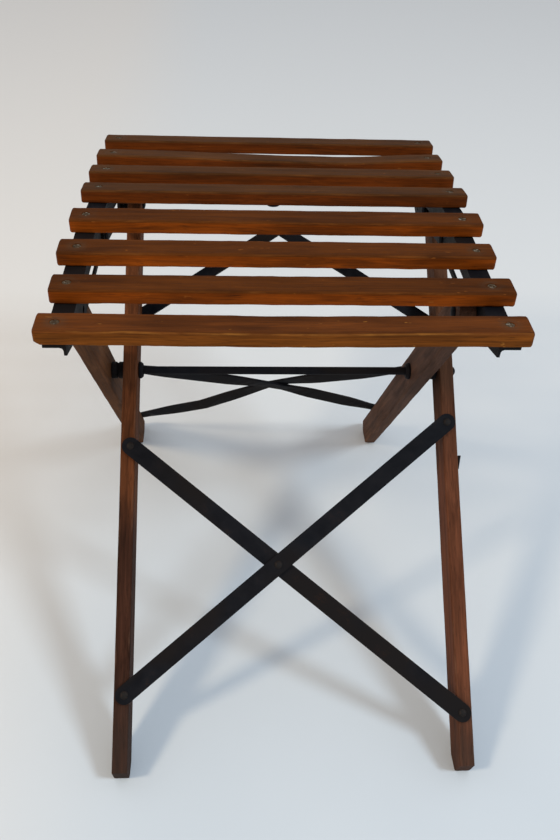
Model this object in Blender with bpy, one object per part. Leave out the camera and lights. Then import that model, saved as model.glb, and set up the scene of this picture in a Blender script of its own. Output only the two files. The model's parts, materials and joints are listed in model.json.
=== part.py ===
"""Folding stool: two crossed wooden leg frames and a slatted seat in two hinged halves.

Metres, +Z up. X runs along the slats, the front of the stool faces -Y, and the floor is Z = 0.
Everything hangs on stool_axes, at the pivot rod, whose Y axis lies along the line through the leg
pins; it tips to the rear because the front-footed legs are the longer ones. The front-footed frame
is the base. The rear-footed frame turns on the pivot rod, the rear half of
the seat turns on the pins in the front-footed legs, and the front half turns on the ridge pins.
"""
from math import asin, atan2, cos, pi, radians, sin, sqrt, tan

import bmesh
import bpy
from mathutils import Vector

# Clearances
SEAT_GAP = 0.0003
RUNNING_GAP = 0.0004

# Legs
LEG_ANGLE = radians(45.0)
STANCE_TILT = radians(5.7)
PIVOT_HEIGHT = 0.2505
PIVOT_Y = 0.0362
LEG_UPPER = 0.1824
LEG_THICK = 0.014
LEG_DEPTH = 0.034
LEG_EASE = 0.0014
FRAME_OFFSET = -0.0129
LEG_GAP = 0.013
FRONT_SOLE = 0.012
FRONT_TOE_RISE = 0.0085
REAR_SOLE = 0.019
REAR_TOE_RISE = 0.002
LEG_TOP_CLEARANCE = 0.0004

# Seat
RIDGE_RISE = 0.0136
FRONT_SLOPE = radians(7.2)
REAR_SLOPE = radians(0.0)
SEAT_OFFSET = -0.0027
SLAT_LENGTH = 0.3623
SLAT_OVERHANG = 0.01515
SLAT_WIDTH = 0.025
SLAT_THICK = 0.0122
SLAT_PITCH = 0.0568
SLAT_EASE = 0.0017
SLATS_PER_HALF = 4
FRONT_RIDGE_TO_SLAT = 0.0164
REAR_RIDGE_TO_SLAT = 0.0213
SLAT_SHIFT = {"rear_slat_1": 0.0006, "rear_slat_4": 0.0013, "front_slat_2": -0.0020,
              "front_slat_3": 0.0007, "front_slat_4": -0.0010}

# Rails
FLANGE_WIDTH = 0.0170
FLANGE_THICK = 0.0025
FLANGE_INSET = 0.0001
WEB_THICK = 0.0022
ROOT_FILLET = 0.0025
FILLET_SHARE = 0.3
RAIL_SHORT = 0.003
FRONT_FLANGE_START = 0.012
REAR_FLANGE_START = 0.0085
TIP_DEPTH = 0.0092
REAR_RAIL_STEP = 0.001
PIN_MARGIN = 0.0095
SLOT_HEIGHT = 0.013
SLOT_BELOW_PIN_LINE = 0.004
SLOT_END_FROM_RIDGE = 0.030
SLOT_END_FROM_PIN = 0.022

# Flat iron braces
BRACE_WIDTH = 0.017
BRACE_THICK = 0.003
UPPER_BRACE_WIDTH = 0.0132
FRONT_BRACE_INSET = 0.003
FRONT_FALLING_TOP = 0.0818
FRONT_FALLING_FOOT = 0.334
FRONT_RISING_TOP = 0.058
FRONT_RISING_FOOT = 0.3133
REAR_FALLING_TOP = 0.050
REAR_FALLING_FOOT = 0.250
REAR_RISING_TOP = 0.061
REAR_RISING_FOOT = 0.301
REAR_BRACE_BOW = 0.0074
REAR_BRACE_TWIST = radians(17.0)
RISING_BEND = 0.5
BOW_REACH = 0.090
BOW_LEVEL = 0.85
TWIST_RAMP = 4.0
UPPER_BRACE_LEFT_DROP = 0.1214
UPPER_BRACE_RIGHT_DROP = 0.1284
UPPER_BRACE_APEX_X = 0.0085
UPPER_BRACE_APEX_DROP = 0.0164

# Rods, pins, rivets and screws
ROD_RADIUS = 0.0040
COLLAR_RADIUS = 0.0085
COLLAR_THICK = 0.0022
SPACER_WAIST = 0.0068
PIN_RADIUS = 0.0030
PIN_HEAD_RADIUS = 0.0058
PIN_HEAD_HEIGHT = 0.0026
ROD_HEAD_HEIGHT = 0.0060
RIVET_RADIUS = 0.0036
RIVET_HEIGHT = 0.0013
SCREW_HEAD_RADIUS = 0.0034
SCREW_HEAD_DEPTH = 0.0022
SCREW_SINK = 0.0004
SCREW_SHANK_RADIUS = 0.0017
SCREW_TAIL = 0.0008
SCREW_FROM_BACK = 0.0077

# Lug on the outer side of the right front-footed leg, at its front edge
LUG_BELOW_PIVOT = 0.091
LUG_LENGTH = 0.014
LUG_STAND = 0.0030
LUG_WIDTH = 0.006
LUG_FROM_EDGE = 0.001

# Angle left between the two leg frames when the stool is folded
FOLDED_ANGLE = radians(2.0)

# Facets
ROUND_STEPS = 20
ARC_STEPS = 8
BAR_STEPS = 28
END_BLUNT = 0.35

WOOD_SLAT = (0.200, 0.075, 0.026, 1.0)
WOOD_LEG = (0.130, 0.055, 0.030, 1.0)
BLACK_IRON = (0.016, 0.016, 0.019, 1.0)
SCREW_STEEL = (0.300, 0.280, 0.250, 1.0)


def clear_scene():
    for item in list(bpy.data.objects):
        bpy.data.objects.remove(item, do_unlink=True)


def make_material(name, colour, roughness, metallic):
    made = bpy.data.materials.new(name)
    made.use_nodes = True
    shader = made.node_tree.nodes["Principled BSDF"]
    shader.inputs["Base Color"].default_value = colour
    shader.inputs["Roughness"].default_value = roughness
    shader.inputs["Metallic"].default_value = metallic
    return made


def make_empty(name, place, turn, parent=None):
    """An empty whose X axis is a joint axis; place and turn are given in its parent's axes."""
    empty = bpy.data.objects.new(name, None)
    bpy.context.scene.collection.objects.link(empty)
    empty.parent = parent
    empty.location = place
    empty.rotation_euler = (turn, 0.0, 0.0)
    return empty


def make_object(name, bm, parent, material=None, smooth=False):
    bmesh.ops.recalc_face_normals(bm, faces=bm.faces)
    mesh = bpy.data.meshes.new(name)
    bm.to_mesh(mesh)
    bm.free()
    made = bpy.data.objects.new(name, mesh)
    bpy.context.scene.collection.objects.link(made)
    made.parent = parent
    if material:
        mesh.materials.append(material)
    if smooth:
        mesh.shade_smooth()
        mesh.set_sharp_from_angle(angle=radians(35.0))
    return made


def add_bevel(made, width, segments):
    bevel = made.modifiers.new("Ease", "BEVEL")
    bevel.width = width
    bevel.segments = segments
    bevel.limit_method = "ANGLE"
    bevel.angle_limit = radians(30.0)


def add_boolean(made, other, operation):
    boolean = made.modifiers.new(operation.title(), "BOOLEAN")
    boolean.operation = operation
    boolean.solver = "EXACT"
    boolean.object = other
    other.hide_render = True
    other.display_type = "WIRE"


def prism(bm, outline, x_low, x_high):
    """Extrude a closed outline of (y, z) points along X."""
    low = [bm.verts.new((x_low, y, z)) for y, z in outline]
    high = [bm.verts.new((x_high, y, z)) for y, z in outline]
    bm.faces.new(low)
    bm.faces.new(high)
    for i in range(len(outline)):
        j = (i + 1) % len(outline)
        bm.faces.new((low[i], low[j], high[j], high[i]))


def box(bm, low, high):
    outline = [(low[1], low[2]), (high[1], low[2]), (high[1], high[2]), (low[1], high[2])]
    prism(bm, outline, low[0], high[0])


def lathe(bm, profile, centre, axis):
    """Turn (along, radius) points about an axis, 'X', 'Y' or 'Z', through centre.

    The profile's end points have no radius.
    """
    across = {"X": ("Y", "Z"), "Y": ("Z", "X"), "Z": ("X", "Y")}[axis]
    unit = {"X": Vector((1, 0, 0)), "Y": Vector((0, 1, 0)), "Z": Vector((0, 0, 1))}
    base = Vector(centre)
    rings = []
    for along, radius in profile:
        middle = base + unit[axis] * along
        if radius == 0.0:
            rings.append([bm.verts.new(middle)])
            continue
        ring = []
        for i in range(ROUND_STEPS):
            turn = 2.0 * pi * i / ROUND_STEPS
            arm = unit[across[0]] * cos(turn) + unit[across[1]] * sin(turn)
            ring.append(bm.verts.new(middle + arm * radius))
        rings.append(ring)
    for first, second in zip(rings, rings[1:]):
        for i in range(ROUND_STEPS):
            j = (i + 1) % ROUND_STEPS
            if len(first) == 1:
                bm.faces.new((first[0], second[i], second[j]))
            elif len(second) == 1:
                bm.faces.new((first[i], first[j], second[0]))
            else:
                bm.faces.new((first[i], first[j], second[j], second[i]))


def cylinder(bm, start, end, radius, centre, axis):
    lathe(bm, [(start, 0.0), (start, radius), (end, radius), (end, 0.0)], centre, axis)


def arc(centre, radius, start, end, steps=ARC_STEPS):
    """Points on an arc in the (y, z) plane, both ends included."""
    points = []
    for i in range(steps + 1):
        turn = start + (end - start) * i / steps
        points.append((centre[0] + radius * cos(turn), centre[1] + radius * sin(turn)))
    return points


def cut_cylinders(name, made, parent, centres, radius, span):
    """Bore holes along X through one object; span is the X range of the cut."""
    bm = bmesh.new()
    for y, z in centres:
        cylinder(bm, span[0], span[1], radius, (0.0, y, z), "X")
    add_boolean(made, make_object(name, bm, parent), "DIFFERENCE")


class Layout:
    """Places worked out from the sizes above."""

    front_lean = LEG_ANGLE + STANCE_TILT
    rear_lean = LEG_ANGLE - STANCE_TILT
    pin_y = LEG_UPPER * sin(LEG_ANGLE)
    pin_z = LEG_UPPER * cos(LEG_ANGLE)
    ridge_z = pin_z + RIDGE_RISE
    link = sqrt(pin_y ** 2 + RIDGE_RISE ** 2)
    drop = atan2(RIDGE_RISE, pin_y)

    frame_width = SLAT_LENGTH - 2 * SLAT_OVERHANG
    frame_step = LEG_THICK + LEG_GAP
    rear_left = FRAME_OFFSET - frame_width / 2
    rear_right = FRAME_OFFSET + frame_width / 2 - LEG_THICK
    front_left = rear_left + frame_step
    front_right = rear_right + frame_step

    front_webs = (rear_left + LEG_THICK + SEAT_GAP, rear_right + LEG_THICK + SEAT_GAP)
    rear_webs = tuple(web + WEB_THICK + SEAT_GAP for web in front_webs)

    # How far the rails lie over the ridge pins; the front ones just clear the rear-footed legs' tops
    pin_to_rail = LEG_DEPTH / 2 + LEG_TOP_CLEARANCE + SCREW_TAIL + FLANGE_THICK
    front_rail_depth = pin_to_rail + link * sin(FRONT_SLOPE - drop)
    rear_rail_depth = front_rail_depth - REAR_RAIL_STEP


def leg_outline(toe, lean, sole, rise):
    """A leg in its frame's own axes: z up the leg from the pivot, y across it.

    toe is +1 where the foot's tip points to -y and -1 where it points to +y. lean is the leg's angle
    from upright, sole how much of its depth is cut level, and rise how far the toe is cut back.
    """
    half = LEG_DEPTH / 2
    slope = tan(lean)
    heel = -PIVOT_HEIGHT / cos(lean) + half * slope
    ball = heel - sole * slope
    outline = [(half * toe, heel), ((half - sole) * toe, ball), (-half * toe, ball + rise)]
    crown = arc((0.0, LEG_UPPER), half, 0.0, pi)
    if toe > 0:
        crown.reverse()
    return outline + crown


def make_leg(name, frame, x_low, outline, material):
    bm = bmesh.new()
    prism(bm, outline, x_low, x_low + LEG_THICK)
    leg = make_object(name, bm, frame, material)
    add_bevel(leg, LEG_EASE, 2)
    span = (x_low - LEG_THICK, x_low + 2 * LEG_THICK)
    cut_cylinders(name + "_pivot_bore", leg, frame, [(0.0, 0.0)], ROD_RADIUS + RUNNING_GAP, span)
    cut_cylinders(name + "_pin_bore", leg, frame, [(0.0, LEG_UPPER)], PIN_RADIUS + RUNNING_GAP, span)
    return leg


def flat_bar(name, frame, start, end, face, out, width, shape, material, middle_rivet=None):
    """A flat iron bar with round ends, laid on a frame's face, with a rivet head at each end.

    start and end are (x, z) in the frame's axes, face is the y of its seat, and out is the side that
    it stands off to. shape is a pair: lift(along), how far it is bent off that seat, and twist(along),
    how far its upper edge is turned outwards. middle_rivet is how far along it a third head sits, if
    it has one.
    """
    lift, twist = shape
    begin = Vector((start[0], 0.0, start[1]))
    run = Vector((end[0], 0.0, end[1])) - begin
    length = run.length
    run.normalize()
    across = Vector((-run.z, 0.0, run.x))
    half = width / 2
    stations = []
    for i in range(ARC_STEPS + 1):
        turn = (pi / 2) * (i + END_BLUNT) / (ARC_STEPS + END_BLUNT)
        stations.append((-half * cos(turn), half * sin(turn)))
    for i in range(1, BAR_STEPS):
        stations.append((length * i / BAR_STEPS, half))
    for along, reach in reversed(stations[:ARC_STEPS + 1]):
        stations.append((length - along, reach))
    bm = bmesh.new()
    rows = []
    for along, reach in stations:
        held = min(max(along, 0.0), length)
        core = face + out * (SEAT_GAP + lift(held) + BRACE_THICK / 2)
        turn = twist(held)
        middle = begin + run * along
        row = []
        for side, level in ((-1, -1), (1, -1), (1, 1), (-1, 1)):
            u = side * reach
            v = level * BRACE_THICK / 2
            point = middle + across * (u * cos(turn) - v * sin(turn))
            row.append(bm.verts.new((point.x, core + out * (u * sin(turn) + v * cos(turn)), point.z)))
        rows.append(row)
    bm.faces.new(rows[0])
    bm.faces.new(rows[-1])
    for first, second in zip(rows, rows[1:]):
        for i in range(4):
            j = (i + 1) % 4
            bm.faces.new((first[i], first[j], second[j], second[i]))
    bar = make_object(name, bm, frame, material)
    heads = bmesh.new()
    rivets = [0.0, length]
    if middle_rivet:
        rivets.append(middle_rivet)
    for along in rivets:
        place = begin + run * along
        top = face + out * (SEAT_GAP + lift(along) + BRACE_THICK)
        rivet_head(heads, (place.x, top, place.z), out)
    add_boolean(bar, make_object(name + "_heads", heads, frame), "UNION")
    return bar


def rivet_head(bm, centre, out):
    """A low domed head that starts just inside the bar that it holds."""
    root = -BRACE_THICK / 2 * out
    profile = [(root, 0.0), (root, RIVET_RADIUS)]
    steps = ARC_STEPS // 2
    for i in range(steps):
        turn = (pi / 2) * i / steps
        profile.append((out * RIVET_HEIGHT * sin(turn), RIVET_RADIUS * cos(turn)))
    profile.append((out * RIVET_HEIGHT, 0.0))
    lathe(bm, profile, centre, "Y")


def none(along):
    return 0.0


def bow(middle, height, reach):
    """A smooth rise to height at middle, level across the other bar, fading out at reach."""

    def lift(along):
        level = BRACE_WIDTH * BOW_LEVEL
        near = min(1.0, max(0.0, (reach - abs(along - middle)) / (reach - level)))
        return height * near * near * (3.0 - 2.0 * near)

    return lift


def ridge(middle, height, before, after):
    """A straight rise to height at middle, level across the other bar, from before it to after it."""

    def lift(along):
        reach = after if along > middle else before
        near = (reach - abs(along - middle)) / (reach - BRACE_WIDTH * BOW_LEVEL)
        return height * min(1.0, max(0.0, near))

    return lift


def wring(middle, length, most):
    """A twist between a bar's ends and its crossing, with none where it is held."""

    def twist(along):
        reach = length - middle if along > middle else middle
        share = (abs(along - middle) - BRACE_WIDTH) / (reach - 2 * BRACE_WIDTH)
        return most * min(1.0, max(0.0, TWIST_RAMP * share), max(0.0, TWIST_RAMP * (1.0 - share)))

    return twist


def make_crossing(prefix, frame, falling, rising, ends_x, face, out, rise, material):
    """Two flat bars crossing between the two legs of a frame; the rising one passes outside.

    Where rise is not 0 both bars are bent out to that height at the crossing, and twisted on the way.
    falling and rising are each bar's (top, foot), as distances below the pivot along the legs, and
    ends_x the places of their rivets.
    """
    left_x, right_x = ends_x
    width = right_x - left_x
    falling_drop = falling[1] - falling[0]
    rising_drop = rising[1] - rising[0]
    share = (rising[1] - falling[0]) / (falling_drop + rising_drop)
    falling_length = sqrt(width ** 2 + falling_drop ** 2)
    rising_length = sqrt(width ** 2 + rising_drop ** 2)
    step_over = BRACE_THICK + SEAT_GAP
    falling_middle = falling_length * share
    rising_middle = rising_length * share
    falling_shape = (none, none)
    rising_shape = (bow(rising_middle, step_over, BOW_REACH / 2), none)
    if rise:
        held = BRACE_WIDTH / 2
        falling_shape = (ridge(falling_middle, rise, falling_middle - held,
                               falling_length - falling_middle - held),
                         wring(falling_middle, falling_length, REAR_BRACE_TWIST))
        rising_shape = (ridge(rising_middle, rise + step_over, rising_middle * RISING_BEND,
                              rising_length - rising_middle - held),
                        wring(rising_middle, rising_length, REAR_BRACE_TWIST))
    flat_bar(prefix + "_brace_falling", frame, (left_x, -falling[0]), (right_x, -falling[1]), face, out,
             BRACE_WIDTH, falling_shape, material)
    flat_bar(prefix + "_brace_rising", frame, (left_x, -rising[1]), (right_x, -rising[0]), face, out,
             BRACE_WIDTH, rising_shape, material, rising_middle)


def make_upper_brace(frame, material):
    """The inverted V on the back of the front-footed legs; the right bar laps over the left one."""
    face = LEG_DEPTH / 2
    apex = (UPPER_BRACE_APEX_X, LEG_UPPER - UPPER_BRACE_APEX_DROP)
    left = (Layout.front_left + LEG_THICK / 2, LEG_UPPER - UPPER_BRACE_LEFT_DROP)
    right = (Layout.front_right + LEG_THICK / 2, LEG_UPPER - UPPER_BRACE_RIGHT_DROP)
    length = sqrt((right[0] - apex[0]) ** 2 + (apex[1] - right[1]) ** 2)
    lap = bow(length, BRACE_THICK + RIVET_HEIGHT + 2 * SEAT_GAP, BOW_REACH)
    flat_bar("upper_brace_left", frame, left, apex, face, 1, UPPER_BRACE_WIDTH, (none, none), material)
    flat_bar("upper_brace_right", frame, right, apex, face, 1, UPPER_BRACE_WIDTH, (lap, none), material)


def head_profile(start, out, height=PIN_HEAD_HEIGHT):
    """A domed pin head, as (along, radius) points from its flat face outwards."""
    points = [(start, PIN_HEAD_RADIUS)]
    steps = ARC_STEPS // 2
    for i in range(1, steps):
        turn = (pi / 2) * i / steps
        points.append((start + out * height * sin(turn), PIN_HEAD_RADIUS * cos(turn)))
    points.append((start + out * height, 0.0))
    return points


def make_pivot(frame, material):
    """The long rod through all four legs, its spacers and its collars."""
    outer_left = Layout.rear_left - SEAT_GAP
    outer_right = Layout.front_right + LEG_THICK + SEAT_GAP
    bm = bmesh.new()
    profile = list(reversed(head_profile(outer_left, -1, ROD_HEAD_HEIGHT)))
    profile += [(outer_left, ROD_RADIUS), (outer_right, ROD_RADIUS)]
    profile += head_profile(outer_right, 1, ROD_HEAD_HEIGHT)
    lathe(bm, profile, (0.0, 0.0, 0.0), "X")
    make_object("pivot_rod", bm, frame, material, smooth=True)
    bore = ROD_RADIUS + RUNNING_GAP
    for side, low in (("left", Layout.rear_left), ("right", Layout.rear_right)):
        start = low + LEG_THICK + SEAT_GAP
        end = low + LEG_THICK + LEG_GAP - SEAT_GAP
        waist = (start + end) / 2
        bm = bmesh.new()
        profile = [(start, 0.0), (start, COLLAR_RADIUS), (waist - COLLAR_THICK / 2, COLLAR_RADIUS),
                   (waist, SPACER_WAIST), (waist + COLLAR_THICK / 2, COLLAR_RADIUS),
                   (end, COLLAR_RADIUS), (end, 0.0)]
        lathe(bm, profile, (0.0, 0.0, 0.0), "X")
        spacer = make_object("pivot_spacer_" + side, bm, frame, material, smooth=True)
        cut_cylinders("pivot_spacer_bore_" + side, spacer, frame, [(0.0, 0.0)], bore,
                      (start - LEG_GAP, end + LEG_GAP))
    inner_left = Layout.front_left + LEG_THICK + SEAT_GAP
    inner_right = Layout.rear_right - SEAT_GAP
    for side, seat, out in (("left", inner_left, 1), ("right", inner_right, -1)):
        bm = bmesh.new()
        tip = seat + out * 2 * COLLAR_THICK
        profile = [(seat, 0.0), (seat, COLLAR_RADIUS), (seat + out * COLLAR_THICK, COLLAR_RADIUS),
                   (tip, SPACER_WAIST), (tip, 0.0)]
        lathe(bm, profile, (0.0, 0.0, 0.0), "X")
        collar = make_object("pivot_collar_" + side, bm, frame, material, smooth=True)
        cut_cylinders("pivot_collar_bore_" + side, collar, frame, [(0.0, 0.0)], bore,
                      (seat - LEG_GAP, seat + LEG_GAP))


def make_leg_pins(front_frame, rear_frame, material):
    """Pins that carry the rear half of the seat, their spacers, and the studs of the rear-footed legs."""
    height = LEG_UPPER
    for i, side in enumerate(("left", "right")):
        leg = (Layout.front_left, Layout.front_right)[i]
        web = Layout.rear_webs[i]
        outer = leg + LEG_THICK + SEAT_GAP
        bm = bmesh.new()
        profile = [(web + SEAT_GAP, 0.0), (web + SEAT_GAP, PIN_RADIUS), (outer, PIN_RADIUS)]
        lathe(bm, profile + head_profile(outer, 1), (0.0, 0.0, height), "X")
        make_object("rear_seat_pin_" + side, bm, front_frame, material, smooth=True)
        bm = bmesh.new()
        start = web + WEB_THICK + SEAT_GAP
        cylinder(bm, start, leg - SEAT_GAP, COLLAR_RADIUS, (0.0, 0.0, height), "X")
        spacer = make_object("rear_seat_spacer_" + side, bm, front_frame, material, smooth=True)
        cut_cylinders("rear_seat_spacer_bore_" + side, spacer, front_frame, [(0.0, height)],
                      PIN_RADIUS + RUNNING_GAP, (start - LEG_GAP, leg + LEG_GAP))
        leg = (Layout.rear_left, Layout.rear_right)[i]
        outer = leg - SEAT_GAP
        bm = bmesh.new()
        profile = list(reversed(head_profile(outer, -1)))
        profile += [(outer, PIN_RADIUS), (leg + LEG_THICK, PIN_RADIUS), (leg + LEG_THICK, 0.0)]
        lathe(bm, profile, (0.0, 0.0, height), "X")
        make_object("front_seat_stud_" + side, bm, rear_frame, material, smooth=True)


def make_lug(frame, material):
    """The small wedge-shaped iron lug on the outer side of the right front-footed leg."""
    seat = Layout.front_right + LEG_THICK + SEAT_GAP
    edge = LUG_FROM_EDGE - LEG_DEPTH / 2
    top = -LUG_BELOW_PIVOT
    bottom = top - LUG_LENGTH
    bm = bmesh.new()
    corners = []
    for y in (edge, edge + LUG_WIDTH):
        corners.append([
            bm.verts.new((seat, y, top)),
            bm.verts.new((seat + LUG_STAND, y, top)),
            bm.verts.new((seat, y, bottom)),
        ])
    bm.faces.new(corners[0])
    bm.faces.new(corners[1])
    for i in range(3):
        j = (i + 1) % 3
        bm.faces.new((corners[0][i], corners[0][j], corners[1][j], corners[1][i]))
    make_object("leg_lug", bm, frame, material)


class SeatHalf:
    """One half of the seat, in the axes of its empty: y along the rails, z up through the slats."""

    def __init__(self, name, empty, toward, ridge, pin, depth, webs, flange_start, first_slat):
        self.name = name
        self.empty = empty
        self.toward = toward
        self.ridge = ridge
        self.pin = pin
        self.depth = depth
        self.webs = webs
        self.flange_start = flange_start
        self.under = ridge[1] + depth
        first = first_slat + SLAT_WIDTH / 2
        self.slat_middles = [first + i * SLAT_PITCH for i in range(SLATS_PER_HALF)]
        self.rail_end = self.slat_middles[-1] + SLAT_WIDTH / 2 - RAIL_SHORT

    def at(self, along, height):
        """A point by its distance from the ridge along the rail and its height over the rails."""
        return (self.ridge[0] + self.toward * along, self.under + height)

    def pin_along(self):
        return (self.pin[0] - self.ridge[0]) * self.toward

    def pin_height(self):
        return self.pin[1] - self.under


def web_outline(half):
    """The side of a rail's web, with round ends at the ridge pin and a taper to its outer tip."""
    along = half.pin_along()
    low = half.pin_height() - PIN_MARGIN
    depth = half.depth
    outline = [(half.flange_start, -SEAT_GAP), (half.rail_end, -SEAT_GAP),
               (half.rail_end, -TIP_DEPTH), (along + PIN_MARGIN, low), (along - PIN_MARGIN, low),
               (0.0, -depth - PIN_MARGIN)]
    outline += arc((0.0, -depth), PIN_MARGIN, -pi / 2 - pi / ARC_STEPS, -pi - pi / 4, ARC_STEPS // 2)
    return [half.at(a, h) for a, h in outline]


def slot_outline(half):
    """The long slot along the line from the ridge pin to the leg pin."""
    along = half.pin_along()
    fall = (half.pin_height() + half.depth) / along
    start = SLOT_END_FROM_RIDGE
    end = along - SLOT_END_FROM_PIN
    low = -half.depth - SLOT_BELOW_PIN_LINE
    points = [(start, low + fall * start), (end, low + fall * end),
              (end, low + fall * end + SLOT_HEIGHT), (start, low + fall * start + SLOT_HEIGHT)]
    return [half.at(a, h) for a, h in points]


def make_rail(half, side, web_low, material):
    """An angle rail: a flange that the slats lie on, and a deep web with its slot and pin holes."""
    out = -1 if side == "left" else 1
    web_high = web_low + WEB_THICK
    name = half.name + "_rail_" + side
    bm = bmesh.new()
    prism(bm, web_outline(half), web_low, web_high)
    rail = make_object(name, bm, half.empty, material)
    back = web_high if out < 0 else web_low
    face = web_low if out < 0 else web_high
    inner = back + out * FLANGE_INSET
    outer = back + out * FLANGE_WIDTH
    hollow = ROOT_FILLET * FILLET_SHARE
    section = [(inner, 0.0), (outer, 0.0), (outer, -FLANGE_THICK), (face + out * ROOT_FILLET, -FLANGE_THICK),
               (face + out * hollow, -FLANGE_THICK - hollow),
               (face, -FLANGE_THICK - ROOT_FILLET), (inner, -FLANGE_THICK - ROOT_FILLET)]
    bm = bmesh.new()
    ends = []
    for along in (half.flange_start, half.rail_end):
        ring = []
        for x, height in section:
            y, z = half.at(along, height)
            ring.append(bm.verts.new((x, y, z)))
        ends.append(ring)
    bm.faces.new(ends[0])
    bm.faces.new(ends[1])
    for i in range(len(section)):
        j = (i + 1) % len(section)
        bm.faces.new((ends[0][i], ends[0][j], ends[1][j], ends[1][i]))
    add_boolean(rail, make_object(name + "_flange", bm, half.empty), "UNION")
    span = (web_low - WEB_THICK, web_high + WEB_THICK)
    bm = bmesh.new()
    prism(bm, slot_outline(half), *span)
    cylinder(bm, span[0], span[1], PIN_RADIUS + RUNNING_GAP, (0.0, *half.ridge), "X")
    cylinder(bm, span[0], span[1], PIN_RADIUS + RUNNING_GAP, (0.0, *half.pin), "X")
    for along in half.slat_middles:
        y, z = half.at(along, 0.0)
        cylinder(bm, -2 * FLANGE_THICK, FLANGE_THICK, SCREW_SHANK_RADIUS + RUNNING_GAP,
                 (screw_x(half, side), y, z), "Z")
    add_boolean(rail, make_object(name + "_holes", bm, half.empty), "DIFFERENCE")
    return rail


def screw_x(half, side):
    if side == "left":
        return half.webs[0] + WEB_THICK - SCREW_FROM_BACK
    return half.webs[1] + SCREW_FROM_BACK


def screw_profile(grow):
    """A countersunk screw from its head down to its tail, measured from the slat's top."""
    head = SCREW_HEAD_RADIUS + grow
    shank = SCREW_SHANK_RADIUS + grow
    tail = -SLAT_THICK - FLANGE_THICK - SCREW_TAIL - 2 * grow
    top = SLAT_THICK if grow else -SCREW_SINK
    neck = -SCREW_SINK - SCREW_HEAD_DEPTH
    points = [(top, 0.0), (top, head)]
    if grow:
        points.append((-SCREW_SINK, head))
    return points + [(neck, shank), (tail, shank), (tail, 0.0)]


def make_slats(half, wood, steel):
    top = SEAT_GAP + SLAT_THICK
    for number, along in enumerate(half.slat_middles, start=1):
        name = "%s_slat_%d" % (half.name, number)
        y, z = half.at(along, SEAT_GAP)
        middle = SEAT_OFFSET + SLAT_SHIFT.get(name, 0.0)
        bm = bmesh.new()
        box(bm, (middle - SLAT_LENGTH / 2, y - SLAT_WIDTH / 2, z),
            (middle + SLAT_LENGTH / 2, y + SLAT_WIDTH / 2, z + SLAT_THICK))
        slat = make_object(name, bm, half.empty, wood)
        add_bevel(slat, SLAT_EASE, 2)
        holes = bmesh.new()
        for side in ("left", "right"):
            centre = (screw_x(half, side), *half.at(along, top))
            lathe(holes, screw_profile(SEAT_GAP), centre, "Z")
            bm = bmesh.new()
            lathe(bm, screw_profile(0.0), centre, "Z")
            make_object("%s_screw_%d_%s" % (half.name, number, side), bm, half.empty, steel, smooth=True)
        add_boolean(slat, make_object(name + "_holes", holes, half.empty), "DIFFERENCE")


def make_ridge_pins(half, material):
    """Pins through both webs at the ridge, with a head on each side."""
    centre = (0.0, *half.ridge)
    for i, side in enumerate(("left", "right")):
        start = Layout.front_webs[i] - SEAT_GAP
        end = Layout.rear_webs[i] + WEB_THICK + SEAT_GAP
        profile = list(reversed(head_profile(start, -1)))
        profile += [(start, PIN_RADIUS), (end, PIN_RADIUS)] + head_profile(end, 1)
        bm = bmesh.new()
        lathe(bm, profile, centre, "X")
        make_object("ridge_pin_" + side, bm, half.empty, material, smooth=True)


def print_fold(stool):
    """Print the joint places, and how far each seat joint turns for each turn of the leg fold."""
    bpy.context.view_layer.update()
    for name, y, z in (("leg_fold", 0.0, 0.0), ("rear_seat_turn", Layout.pin_y, Layout.pin_z),
                       ("ridge_turn", 0.0, Layout.ridge_z), ("front stud", -Layout.pin_y, Layout.pin_z)):
        place = stool.matrix_world @ Vector((0.0, y, z))
        print(name, round(place.y, 6), round(place.z, 6))
    half_angle = FOLDED_ANGLE / 2
    fold = 2.0 * LEG_ANGLE - FOLDED_ANGLE
    closed = asin(LEG_UPPER / Layout.link * sin(half_angle))
    base = pi / 2 - LEG_ANGLE + half_angle
    rear_turn = pi - Layout.drop - (base + closed)
    front_turn = base - closed - Layout.drop + rear_turn
    print("ratios", rear_turn / fold, -front_turn / fold)


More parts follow.
